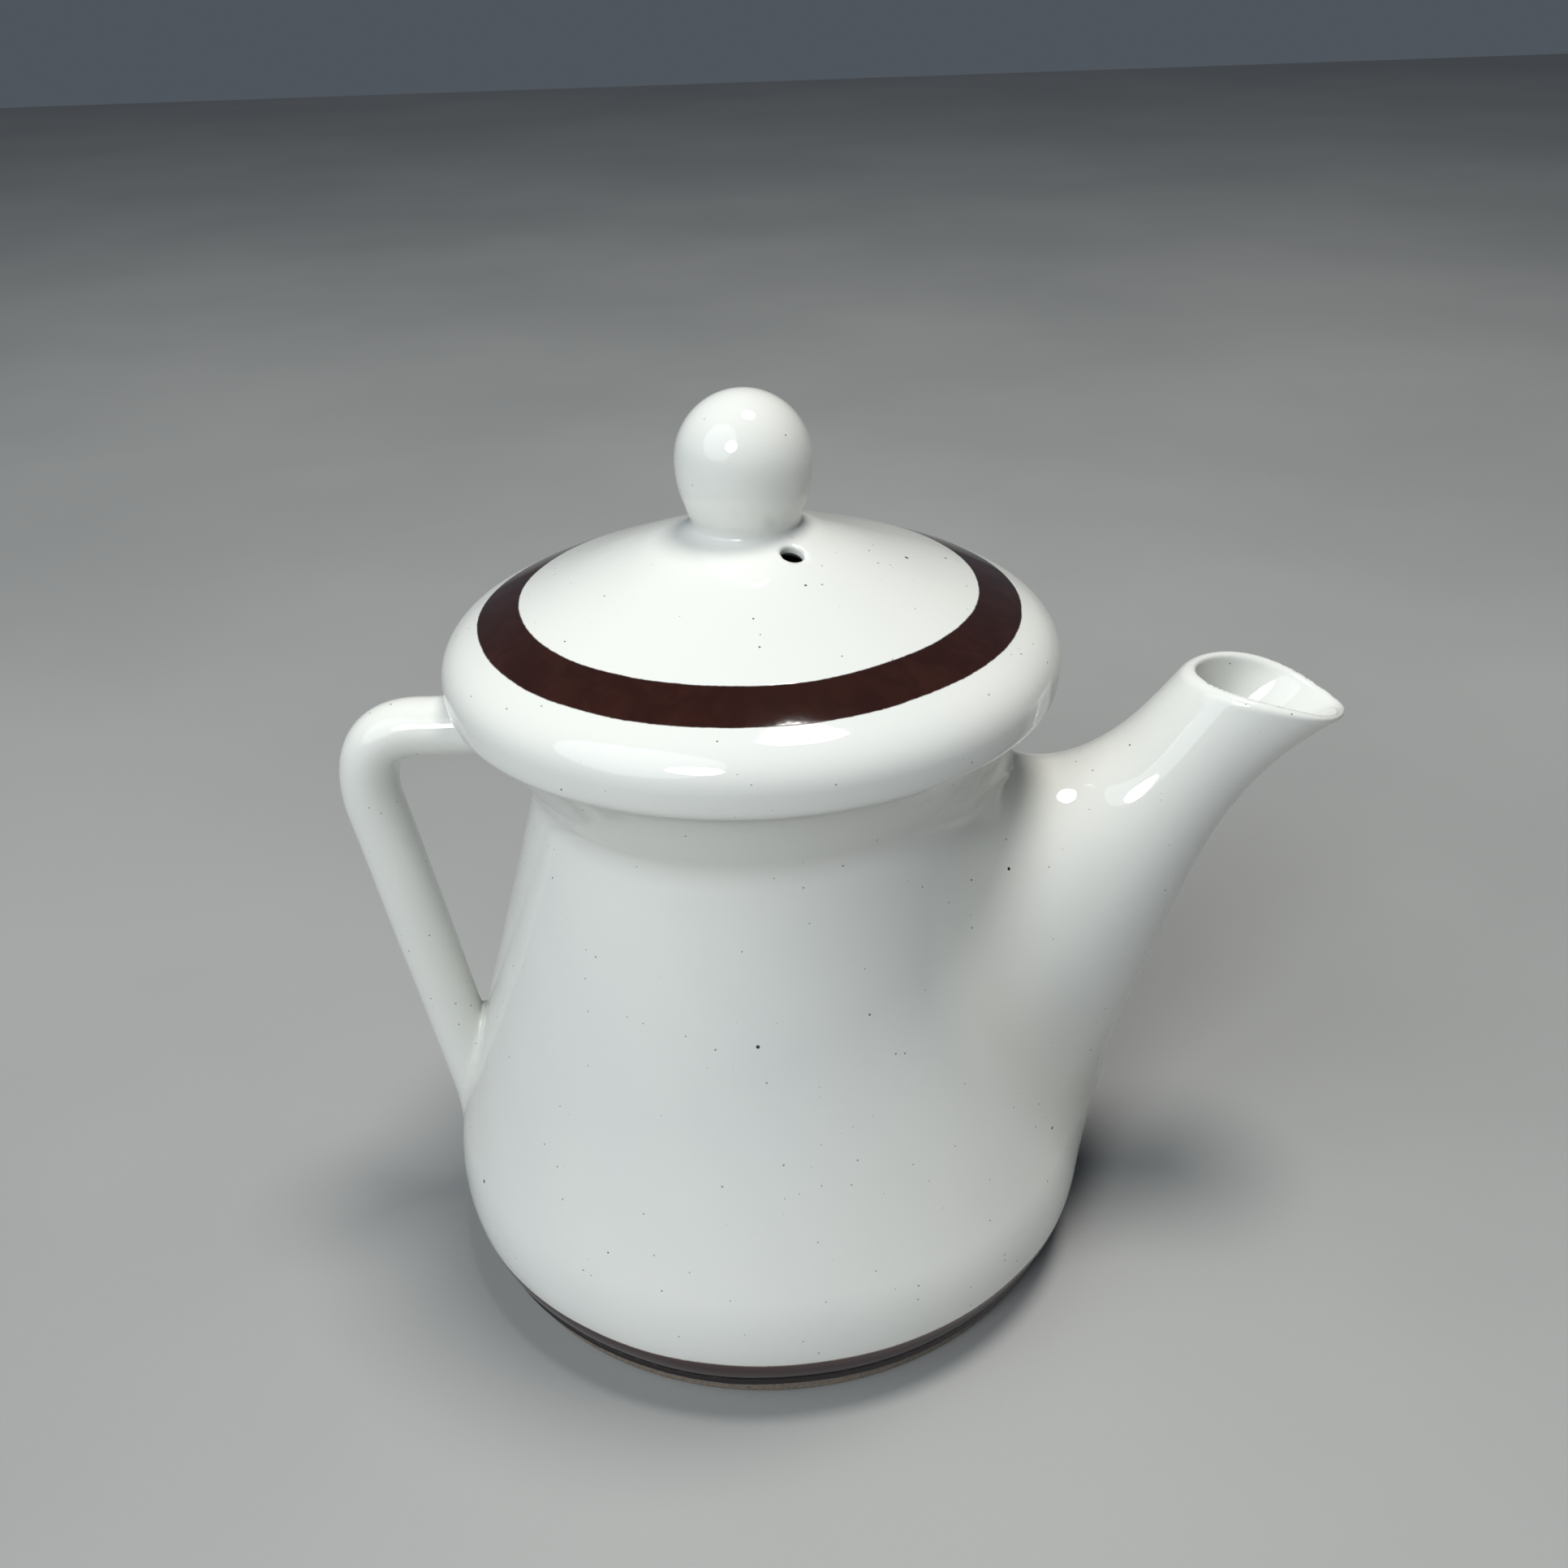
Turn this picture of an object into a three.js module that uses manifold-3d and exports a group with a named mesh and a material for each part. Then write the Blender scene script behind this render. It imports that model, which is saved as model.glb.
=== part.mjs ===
// A glazed ceramic pot with a lift-off lid and a removable steel infuser basket.
// Millimetres, +Z up, the table at z = 0, the spout towards +X and the handle towards -X.
import * as THREE from "three";
import { mergeVertices } from "three/addons/utils/BufferGeometryUtils.js";
import Module from "manifold-3d";

const wasm = await Module();
wasm.setup();

// ---- driving dimensions ----
const GAP = 0.3; // left between pieces that touch
const ROUND = 48; // facets round the pot's axis

const FOOT_HEIGHT = 3.7;
const FOOT_RADIUS = 70.9;
const FOOT_WIDTH = 9;

const BELLY_RADIUS = 77;
const BELLY_HEIGHT = 20.2;
const UNDERCUT_RADIUS = 23; // the arc from the belly in to the foot
const SHOULDER_RADIUS = 44; // the arc from the belly into the straight taper
const TAPER = THREE.MathUtils.degToRad(16.8);
const NECK_HEIGHT = 121;
const NECK_RADIUS = 48.6;
const COLLAR_RADIUS = 59.3;
const COLLAR_TOP = 143;
const WALL = 4.8;
const FLOOR_TOP = 9.2;
const LEDGE_HEIGHT = 136.5;
const LEDGE_INNER_RADIUS = 46.5;
const MOUTH_RADIUS = 53.5;

const LID_RADIUS = 65.6;
const LID_UNDERSIDE = COLLAR_TOP + GAP;
const LID_RIM_HEIGHT = 4.8; // from the underside up to the widest point
const LID_DOME_EDGE = new THREE.Vector2(43.9, 164.2); // the cone ends and curves over here
const LID_DOME_TOP = new THREE.Vector2(15.5, 175.3); // the cone ends and sweeps up here
const LID_NECK_TOP = 179.5;
const LID_NECK_RADIUS = 11.9;
const LID_INNER_RADIUS = 48;
const LID_INNER_EDGE = new THREE.Vector2(42, 159.6);
const LID_INNER_TOP = new THREE.Vector2(18, 171);
const LID_FLANGE_DEPTH = 4.8;
const STEAM_HOLE_DIAMETER = 4.7;
const STEAM_HOLE_OFFSET = 16.4;
const STEAM_HOLE_ANGLE = THREE.MathUtils.degToRad(-56.6);
const STEAM_HOLE_TOP = 174.9;
const STEAM_HOLE_LEAN = THREE.MathUtils.degToRad(21); // square to the dome

const KNOB_RADIUS = 14.1;
const KNOB_CENTRE = 190.3;
const KNOB_BORE = 6;
const KNOB_BORE_TOP = 192;

const SPOUT_TIP = new THREE.Vector2(131.5, 128.4);
const SPOUT_MOUTH_BACK = new THREE.Vector2(95, 138.9);
const SPOUT_MOUTH_HALF_WIDTH = 15.4;
const SPOUT_WAIST_HALF_WIDTH = 13.3;
const SPOUT_ROOT_HALF_WIDTH = 48;
const SPOUT_WALL = 4.2;
const SPOUT_LIP = 2.9; // the wall at the mouth

const HANDLE_THICKNESS = 13;
const HANDLE_WIDTH = 15;
const HANDLE_BAR_HEIGHT = 133;
const HANDLE_REACH = 85.8; // from the axis to the arm's centre line, at its widest

const BASKET_TOP_RADIUS = 42.5;
const BASKET_BASE_RADIUS = 38.5;
const BASKET_BASE_HEIGHT = 62;
const BASKET_SHEET = 1;
const BASKET_HOLE_DIAMETER = 3.6;
const BASKET_HOLE_ROWS = [74, 87, 100];
const BASKET_HOLES_PER_ROW = 14;
const TAB_HEIGHT = 9;
const TAB_WIDTH = 18;

// The middle of the object's length, so that the origin is under its middle.
const CENTRE_X = (SPOUT_TIP.x - HANDLE_REACH - HANDLE_THICKNESS / 2) / 2;

const WHITE_GLAZE = { color: 0xe4e8e6, roughness: 0.12, metalness: 0 };
const BISQUE = { color: 0x6a5c50, roughness: 0.8, metalness: 0 };
const STEEL = { color: 0xb8bbbd, roughness: 0.3, metalness: 1 };

const pot = new THREE.Group();
pot.position.x = -CENTRE_X;

// ---- helpers ----
function solidOf(geometry) {
  const bare = geometry.clone();
  bare.deleteAttribute("normal");
  bare.deleteAttribute("uv");
  const merged = mergeVertices(bare, 1e-3);
  return new wasm.Manifold(new wasm.Mesh({
    numProp: 3,
    vertProperties: merged.attributes.position.array,
    triVerts: new Uint32Array(merged.index.array),
  }));
}

function geometryOf(solid) {
  const mesh = solid.getMesh();
  const geometry = new THREE.BufferGeometry();
  geometry.setAttribute("position", new THREE.BufferAttribute(mesh.vertProperties, 3));
  geometry.setIndex(new THREE.BufferAttribute(mesh.triVerts, 1));
  geometry.computeVertexNormals();
  return geometry;
}

function addPiece(name, solid, look) {
  const mesh = new THREE.Mesh(geometryOf(solid), new THREE.MeshStandardMaterial(look));
  mesh.name = name;
  pot.add(mesh);
}

// Turns an outline of radius and height, drawn anticlockwise, about the pot's axis.
function revolve(path, divisions, facets = ROUND) {
  const outline = path.getPoints(divisions);
  outline.push(outline[0].clone());
  return solidOf(new THREE.LatheGeometry(outline, facets).rotateX(Math.PI / 2));
}

// A ring or a disc of rectangular section.
function ring(innerRadius, outerRadius, bottom, top, facets = ROUND) {
  const path = new THREE.Path();
  path.moveTo(innerRadius, bottom);
  path.lineTo(outerRadius, bottom);
  path.lineTo(outerRadius, top);
  path.lineTo(innerRadius, top);
  return revolve(path, 1, facets);
}

function taperRadius(height) {
  return NECK_RADIUS + (NECK_HEIGHT - height) * Math.tan(TAPER);
}

// ---- pot body ----
// The outer outline from the foot to the collar's top, grown outwards by `grow`.
function drawBodyOutside(path, grow) {
  const undercutStart = -Math.asin((BELLY_HEIGHT - FOOT_HEIGHT - GAP) / UNDERCUT_RADIUS);
  path.absarc(BELLY_RADIUS - UNDERCUT_RADIUS, BELLY_HEIGHT, UNDERCUT_RADIUS + grow,
    undercutStart, 0);
  path.absarc(BELLY_RADIUS - SHOULDER_RADIUS, BELLY_HEIGHT, SHOULDER_RADIUS + grow, 0, TAPER);
  path.lineTo(taperRadius(NECK_HEIGHT - 4) + grow, NECK_HEIGHT - 4);
  path.quadraticCurveTo(NECK_RADIUS - 0.2 + grow, NECK_HEIGHT + 0.5,
    NECK_RADIUS + 2 + grow, NECK_HEIGHT + 4.5);
  path.lineTo(COLLAR_RADIUS - 0.6 + grow, COLLAR_TOP - 3.5);
  path.quadraticCurveTo(COLLAR_RADIUS + 0.6 + grow, COLLAR_TOP - 0.3,
    COLLAR_RADIUS - 1.6 + grow, COLLAR_TOP);
}

function bodyCore() {
  const path = new THREE.Path();
  path.moveTo(0, FOOT_HEIGHT + GAP);
  drawBodyOutside(path, GAP);
  path.lineTo(0, COLLAR_TOP);
  return revolve(path, 4);
}

function bodyShell() {
  const path = new THREE.Path();
  path.moveTo(0, FOOT_HEIGHT + GAP);
  drawBodyOutside(path, 0);
  path.lineTo(MOUTH_RADIUS, COLLAR_TOP);
  path.lineTo(MOUTH_RADIUS, LEDGE_HEIGHT);
  path.lineTo(LEDGE_INNER_RADIUS, LEDGE_HEIGHT);
  path.lineTo(NECK_RADIUS - WALL, NECK_HEIGHT + 1);
  path.lineTo(taperRadius(30) - WALL, 30);
  path.quadraticCurveTo(BELLY_RADIUS - WALL, FLOOR_TOP, BELLY_RADIUS - 20, FLOOR_TOP);
  path.lineTo(0, FLOOR_TOP);
  return revolve(path, 4);
}

function footRing() {
  const path = new THREE.Path();
  path.moveTo(FOOT_RADIUS - FOOT_WIDTH, 0);
  path.lineTo(FOOT_RADIUS - 1, 0);
  path.lineTo(FOOT_RADIUS, 1);
  path.lineTo(FOOT_RADIUS, FOOT_HEIGHT);
  path.lineTo(FOOT_RADIUS - FOOT_WIDTH - 1.5, FOOT_HEIGHT);
  return revolve(path, 1);
}

// ---- spout ----
const spoutTop = new THREE.CubicBezierCurve(
  new THREE.Vector2(40, 116), new THREE.Vector2(74.9, 109.5),
  new THREE.Vector2(80.9, 120.9), SPOUT_MOUTH_BACK);
const spoutBottom = new THREE.CubicBezierCurve(
  new THREE.Vector2(72, 6), new THREE.Vector2(96.5, 65),
  new THREE.Vector2(91, 107.5), SPOUT_TIP);

// Half the spout's width at t from 0 at the root to 1 at the mouth.
function spoutHalfWidth(t) {
  const root = SPOUT_ROOT_HALF_WIDTH - SPOUT_WAIST_HALF_WIDTH;
  const lip = SPOUT_MOUTH_HALF_WIDTH - SPOUT_WAIST_HALF_WIDTH;
  return SPOUT_WAIST_HALF_WIDTH + root * (1 - t) ** 2 + lip * t ** 6;
}

// A unit cylinder whose sections are laid between the two outlines, pulled in by the wall
// at the root and the lip at the mouth, and run on past the mouth by `overrun`.
function spoutHorn(wall, lip, overrun) {
  const horn = new THREE.CylinderGeometry(1, 1, 1, 26, 14);
  const position = horn.attributes.position;
  for (let i = 0; i < position.count; i += 1) {
    const t = position.getY(i) + 0.5;
    const inset = THREE.MathUtils.lerp(wall, lip, t);
    const across = -position.getX(i) * (spoutHalfWidth(t) - inset);
    const up = position.getZ(i);
    const top = spoutTop.getPoint(t);
    const bottom = spoutBottom.getPoint(t);
    const span = top.clone().sub(bottom);
    const half = span.length() / 2 - inset;
    const along = new THREE.Vector2(span.y, -span.x).normalize();
    const point = top.clone().add(bottom).multiplyScalar(0.5);
    point.addScaledVector(span.normalize(), up * half);
    point.addScaledVector(along, t === 1 ? overrun : 0);
    const beak = 1 - 0.27 * t ** 4 * Math.max(0, -up) ** 1.5;
    position.setXYZ(i, point.x, across * beak, point.y);
  }
  return solidOf(horn);
}

// ---- handle ----
function handleBar() {
  const bar = new THREE.CurvePath();
  const at = (x, z) => new THREE.Vector3(-x, 0, z);
  const corner = at(HANDLE_REACH + 2.2, HANDLE_BAR_HEIGHT + 1.3);
  const barEnd = at(HANDLE_REACH - 14.5, HANDLE_BAR_HEIGHT);
  const armStart = at(HANDLE_REACH, HANDLE_BAR_HEIGHT - 18);
  const armEnd = at(71.6, 34);
  bar.add(new THREE.LineCurve3(at(50, HANDLE_BAR_HEIGHT), barEnd));
  bar.add(new THREE.QuadraticBezierCurve3(barEnd, corner, armStart));
  bar.add(new THREE.LineCurve3(armStart, armEnd));
  bar.add(new THREE.QuadraticBezierCurve3(armEnd, at(70.8, 26), at(66, 20)));
  const section = new THREE.Shape();
  section.absellipse(0, 0, HANDLE_THICKNESS / 2, HANDLE_WIDTH / 2, 0, 2 * Math.PI);
  return solidOf(new THREE.ExtrudeGeometry(section, {
    extrudePath: bar,
    steps: 34,
    curveSegments: 7,
  }));
}

// ---- lid ----
function lidCap() {
  const path = new THREE.Path();
  path.moveTo(LID_RADIUS - 2, LID_UNDERSIDE);
  path.quadraticCurveTo(LID_RADIUS - 0.2, LID_UNDERSIDE,
    LID_RADIUS, LID_UNDERSIDE + LID_RIM_HEIGHT);
  path.quadraticCurveTo(LID_RADIUS, 155.5, LID_DOME_EDGE.x, LID_DOME_EDGE.y);
  path.lineTo(LID_DOME_TOP.x, LID_DOME_TOP.y);
  path.quadraticCurveTo(LID_NECK_RADIUS - 0.2, 176.3, LID_NECK_RADIUS, LID_NECK_TOP);
  path.lineTo(KNOB_BORE, LID_NECK_TOP);
  path.lineTo(KNOB_BORE, LID_INNER_TOP.y + 3);
  path.quadraticCurveTo(KNOB_BORE + 1, LID_INNER_TOP.y + 1, LID_INNER_TOP.x, LID_INNER_TOP.y);
  path.lineTo(LID_INNER_EDGE.x, LID_INNER_EDGE.y);
  path.quadraticCurveTo(LID_INNER_RADIUS, 155, LID_INNER_RADIUS, LID_UNDERSIDE + 2);
  path.lineTo(LID_INNER_RADIUS, LID_UNDERSIDE);
  const holeRadius = STEAM_HOLE_DIAMETER / 2;
  const hole = new THREE.CylinderGeometry(holeRadius, holeRadius, 14, 16);
  hole.rotateX(Math.PI / 2);
  hole.rotateY(STEAM_HOLE_LEAN);
  hole.translate(STEAM_HOLE_OFFSET, 0, STEAM_HOLE_TOP);
  hole.rotateZ(STEAM_HOLE_ANGLE);
  return revolve(path, 5).subtract(solidOf(hole));
}

function lidKnob() {
  const path = new THREE.Path();
  const base = LID_NECK_TOP + GAP;
  path.moveTo(KNOB_BORE, base);
  path.lineTo(LID_NECK_RADIUS, base);
  path.quadraticCurveTo(KNOB_RADIUS - 0.2, 184.6, KNOB_RADIUS, KNOB_CENTRE);
  path.absarc(0, KNOB_CENTRE, KNOB_RADIUS, 0, Math.PI / 2);
  path.lineTo(0, KNOB_BORE_TOP);
  path.lineTo(KNOB_BORE, KNOB_BORE_TOP - 3);
  return revolve(path, 5, 36);
}

// ---- infuser ----
function basketRim() {
  const bottom = LEDGE_HEIGHT + GAP;
  return ring(BASKET_TOP_RADIUS + GAP, MOUTH_RADIUS - 0.8, bottom, bottom + BASKET_SHEET);
}

function basketWall() {
  const path = new THREE.Path();
  const top = LEDGE_HEIGHT + GAP + BASKET_SHEET;
  path.moveTo(BASKET_BASE_RADIUS - BASKET_SHEET, BASKET_BASE_HEIGHT);
  path.lineTo(BASKET_BASE_RADIUS, BASKET_BASE_HEIGHT);
  path.lineTo(BASKET_TOP_RADIUS, top);
  path.lineTo(BASKET_TOP_RADIUS - BASKET_SHEET, top);
  const punches = [];
  for (const height of BASKET_HOLE_ROWS) {
    for (let i = 0; i < BASKET_HOLES_PER_ROW; i += 1) {
      const radius = BASKET_HOLE_DIAMETER / 2;
      const punch = new THREE.CylinderGeometry(radius, radius, 12, 6);
      punch.rotateZ(Math.PI / 2);
      punch.translate(BASKET_BASE_RADIUS, 0, height);
      punch.rotateZ((i + 0.5) * 2 * Math.PI / BASKET_HOLES_PER_ROW);
      punches.push(solidOf(punch));
    }
  }
  return revolve(path, 1).subtract(wasm.Manifold.union(punches));
}

function basketBase() {
  const radius = BASKET_BASE_RADIUS - BASKET_SHEET - GAP;
  const disc = ring(0, radius, BASKET_BASE_HEIGHT, BASKET_BASE_HEIGHT + BASKET_SHEET, 36);
  const punches = [];
  for (const [circle, count] of [[0, 1], [12, 6], [24, 12]]) {
    for (let i = 0; i < count; i += 1) {
      const punch = new THREE.CylinderGeometry(BASKET_HOLE_DIAMETER / 2,
        BASKET_HOLE_DIAMETER / 2, 6, 6);
      punch.rotateX(Math.PI / 2);
      punch.translate(circle, 0, BASKET_BASE_HEIGHT);
      punch.rotateZ(i * 2 * Math.PI / count);
      punches.push(solidOf(punch));
    }
  }
  return disc.subtract(wasm.Manifold.union(punches));
}

// A lifting tab that stands on the rim, bent to the rim's own curve, with a slot for a fingernail.
function basketTab(angle) {
  const bottom = LEDGE_HEIGHT + 2 * GAP + BASKET_SHEET;
  const radius = BASKET_TOP_RADIUS + 2;
  const band = ring(radius, radius + BASKET_SHEET, bottom, bottom + TAB_HEIGHT);
  const outline = new THREE.Shape();
  outline.moveTo(-TAB_WIDTH / 2, bottom - 1);
  outline.lineTo(TAB_WIDTH / 2, bottom - 1);
  outline.lineTo(TAB_WIDTH / 2, bottom + TAB_HEIGHT - 5);
  outline.absarc(TAB_WIDTH / 2 - 5, bottom + TAB_HEIGHT - 5, 5, 0, Math.PI / 2);
  outline.absarc(5 - TAB_WIDTH / 2, bottom + TAB_HEIGHT - 5, 5, Math.PI / 2, Math.PI);
  const slot = new THREE.Path();
  slot.absarc(-3, bottom + 4.5, 1.5, Math.PI / 2, 1.5 * Math.PI);
  slot.absarc(3, bottom + 4.5, 1.5, -Math.PI / 2, Math.PI / 2);
  outline.holes.push(slot);
  const cutter = new THREE.ExtrudeGeometry(outline, {
    depth: 20,
    bevelEnabled: false,
    curveSegments: 3,
  });
  cutter.rotateX(Math.PI / 2);
  cutter.rotateZ(Math.PI / 2);
  cutter.translate(radius - 12, 0, 0);
  cutter.rotateZ(angle);
  return band.intersect(solidOf(cutter));
}

// ---- assembly ----
const core = bodyCore();
const channel = spoutHorn(SPOUT_WALL, SPOUT_LIP, 6);

addPiece("pot_body", bodyShell().subtract(channel), WHITE_GLAZE);
addPiece("foot_ring", footRing(), BISQUE);
addPiece("spout", spoutHorn(0, 0, 0).subtract(channel).subtract(core), WHITE_GLAZE);
addPiece("handle", handleBar().subtract(core), WHITE_GLAZE);

addPiece("lid_cap", lidCap(), WHITE_GLAZE);
addPiece("lid_flange",
  ring(LID_INNER_RADIUS, MOUTH_RADIUS - 0.9, COLLAR_TOP - LID_FLANGE_DEPTH, COLLAR_TOP), WHITE_GLAZE);
addPiece("lid_knob", lidKnob(), WHITE_GLAZE);

addPiece("infuser_rim", basketRim(), STEEL);
addPiece("infuser_wall", basketWall(), STEEL);
addPiece("infuser_base", basketBase(), STEEL);
addPiece("infuser_tab_front", basketTab(-Math.PI / 2), STEEL);
addPiece("infuser_tab_back", basketTab(Math.PI / 2), STEEL);

export default pot;
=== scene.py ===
import math

import bmesh
import bpy
import numpy as np
from mathutils import Matrix, Vector, kdtree


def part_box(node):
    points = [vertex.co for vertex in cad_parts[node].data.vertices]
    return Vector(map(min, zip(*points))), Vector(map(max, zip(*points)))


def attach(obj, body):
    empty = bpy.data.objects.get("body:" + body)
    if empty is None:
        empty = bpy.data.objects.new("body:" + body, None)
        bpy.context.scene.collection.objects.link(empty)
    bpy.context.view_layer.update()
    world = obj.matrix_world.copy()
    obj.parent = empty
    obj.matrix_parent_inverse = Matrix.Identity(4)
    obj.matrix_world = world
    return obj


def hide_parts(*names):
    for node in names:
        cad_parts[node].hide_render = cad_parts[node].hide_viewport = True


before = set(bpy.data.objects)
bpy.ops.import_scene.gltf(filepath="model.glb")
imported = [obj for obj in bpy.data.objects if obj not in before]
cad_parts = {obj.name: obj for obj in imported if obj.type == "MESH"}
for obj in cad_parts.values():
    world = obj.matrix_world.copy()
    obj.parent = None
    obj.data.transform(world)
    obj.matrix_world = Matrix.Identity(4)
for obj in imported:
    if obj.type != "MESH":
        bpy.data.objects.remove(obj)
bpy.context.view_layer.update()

# Until a mesh is made, lengths are millimetres, measured from the pot's axis and from the table.
MM = 0.001
foot_low, foot_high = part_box("foot_ring")
AXIS_X = (foot_low.x + foot_high.x) * 500  # the middle of the foot, in millimetres
FAR = 1e9
SMALL = 1e-9
FULL_TURN = 2 * math.pi


# ---------------------------------------------------------------- outlines

def bend(a, b, c, count=24):
    """A quadratic curve from a to c that heads for b."""
    t = np.linspace(0, 1, count)[:, None]
    a, b, c = (np.array(p, float) for p in (a, b, c))
    return [tuple(p) for p in (1 - t) ** 2 * a + 2 * t * (1 - t) * b + t**2 * c]


def arc(centre, radius, start, end, count=40):
    """An arc round centre, with its angles in degrees."""
    angles = np.radians(np.linspace(start, end, count))
    return [(centre[0] + radius * math.cos(a), centre[1] + radius * math.sin(a)) for a in angles]


def joined(*parts):
    """One outline from several stretches, without repeated points."""
    out = []
    for part in parts:
        for p in part:
            if not out or math.dist(out[-1], p) > 1e-6:
                out.append((float(p[0]), float(p[1])))
    return out


def rounded(points, closed=False):
    """Straight stretches between (r, z, corner radius) points, with each corner turned into a curve."""
    most = 0.49  # the share of a stretch that one corner may use
    n = len(points)
    out = []
    for i, (r, z, size) in enumerate(points):
        here = np.array([r, z], float)
        if size == 0 or (not closed and i in (0, n - 1)):
            out.append((r, z))
            continue
        before = np.array(points[i - 1][:2], float) - here
        after = np.array(points[(i + 1) % n][:2], float) - here
        length_before = np.linalg.norm(before)
        length_after = np.linalg.norm(after)
        corner = math.acos(np.clip(before @ after / length_before / length_after, -1, 1))
        reach = min(size / math.tan(corner / 2), length_before * most, length_after * most)
        start = here + before / length_before * reach
        end = here + after / length_after * reach
        out += bend(start, here, end, 9)
    return joined(out)


def steps(a, b, spacing):
    """Points from a up to, but not including, b, no further apart than spacing."""
    count = max(1, math.ceil(math.dist(a, b) / spacing))
    return [tuple(np.array(a) + (np.array(b) - np.array(a)) * k / count) for k in range(count)]


def spaced(path, spacing):
    """The same outline with no step longer than spacing."""
    out = []
    for a, b in zip(path, path[1:]):
        out += steps(a, b, spacing)
    return out + [path[-1]]


def thinned(path, coarse, fine, low, high):
    """The same outline in coarse steps, and in fine ones where r is between low and high."""
    out = []
    for a, b in zip(path, path[1:]):
        middle = (a[0] + b[0]) / 2
        out += steps(a, b, fine if low < middle < high else coarse)
    return out + [path[-1]]


def graded(*stops):
    """Values in growing order from (start, step), (start, step) ... (end,)."""
    out = []
    for (start, step), after in zip(stops, stops[1:]):
        count = max(1, round((after[0] - start) / step))
        out += list(start + (after[0] - start) * np.arange(count) / count)
    return np.array(out + [stops[-1][0]])


# ---------------------------------------------------------------- tables of distance

class Table:
    """Values on a plane grid, read back with cubic interpolation."""

    def __init__(self, low, step, values):
        self.low = np.array(low, float)
        self.step = step
        self.values = values

    def place(self, u, v):
        """The grid point before each (u, v), and how far past it that lies, in steps."""
        margin = 1
        a = (u - self.low[0]) / self.step
        b = (v - self.low[1]) / self.step
        a = np.clip(a, margin, self.values.shape[0] - 2 - margin)
        b = np.clip(b, margin, self.values.shape[1] - 2 - margin)
        i = a.astype(int)
        j = b.astype(int)
        return i, j, a - i, b - j

    def weights(self, s):
        return (
            ((2 - s) * s - 1) * s / 2,
            ((3 * s - 5) * s * s + 2) / 2,
            ((4 - 3 * s) * s + 1) * s / 2,
            (s - 1) * s * s / 2,
        )

    def __call__(self, u, v):
        i, j, s, t = self.place(u, v)
        ws = self.weights(s)
        wt = self.weights(t)
        return sum(ws[m] * wt[n] * self.values[i + m - 1, j + n - 1] for m in range(4) for n in range(4))


def table_of(make, low, high, step):
    """A table of make(u, v) from low to high."""
    counts = [int((h - l) / step) + 2 for l, h in zip(low, high)]
    lines = (l + step * np.arange(c) for l, c in zip(np.array(low, float), counts))
    u, v = np.meshgrid(*lines, indexing="ij")
    return Table(low, step, make(u, v))


def path_distance(path, u, v):
    """Distance from each (u, v) to an open path."""
    points = np.array(spaced(path, 0.2))
    tree = kdtree.KDTree(len(points))
    for i, p in enumerate(points):
        tree.insert((p[0], p[1], 0), i)
    tree.balance()
    flat = np.stack([u.ravel(), v.ravel()], 1)
    near = np.array([tree.find((a, b, 0))[1] for a, b in flat.tolist()])
    best = np.full(len(flat), FAR)
    for first in (np.maximum(near - 1, 0), np.minimum(near, len(points) - 2)):
        a = points[first]
        ab = points[first + 1] - a
        k = np.clip(((flat - a) * ab).sum(1) / (ab**2).sum(1), 0, 1)
        best = np.minimum(best, np.linalg.norm(flat - a - ab * k[:, None], axis=1))
    return best.reshape(u.shape)


def is_inside(polygon, u, v):
    inside = np.zeros(u.shape, bool)
    for (a, b), (c, d) in zip(polygon, polygon[1:] + polygon[:1]):
        if b != d:
            inside ^= ((b > v) != (d > v)) & (u < (c - a) * (v - b) / (d - b) + a)
    return inside


def turned_solid(path, widest, low, high, step):
    """Signed distance to the solid that path sweeps out, as a table over r and z. The path runs from the
    axis round to the axis, and the table starts three steps across it."""

    def make(r, z):
        distance = path_distance(path, np.abs(r), z)
        return np.where(is_inside(path, np.abs(r), z), -distance, distance)

    return table_of(make, (-3 * step, low), (widest, high), step)


# ---------------------------------------------------------------- joining solids

def soft_min(a, b, k):
    """The smaller of two distances, with the change from one to the other rounded over k."""
    h = np.maximum(k - np.abs(a - b), 0)
    return np.minimum(a, b) - h * h / (4 * k)


def soft_max(a, b, k):
    return -soft_min(-a, -b, k)


def unit(rows):
    return rows / (np.linalg.norm(rows, axis=1)[:, None] + SMALL)


def waviness(p, size=0.1):
    """The slight unevenness of a cast and glazed wall."""
    x, y, z = p.T
    return size * (
        np.sin(x / 9.1 + 0.7) * np.sin(y / 10.3 + 2.1) * np.sin(z / 11.7 + 0.3)
        + 0.5 * np.sin(x / 5.3 + z / 7.9) * np.sin(y / 6.1 - z / 8.7 + 1.1)
    )


# ---------------------------------------------------------------- the pot's outlines

TAPER_ANGLE = 16.8
TAPER = math.tan(math.radians(TAPER_ANGLE))
TAPER_TOP = 117


def taper_radius(z):
    return 48.6 + (121 - z) * TAPER


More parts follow.
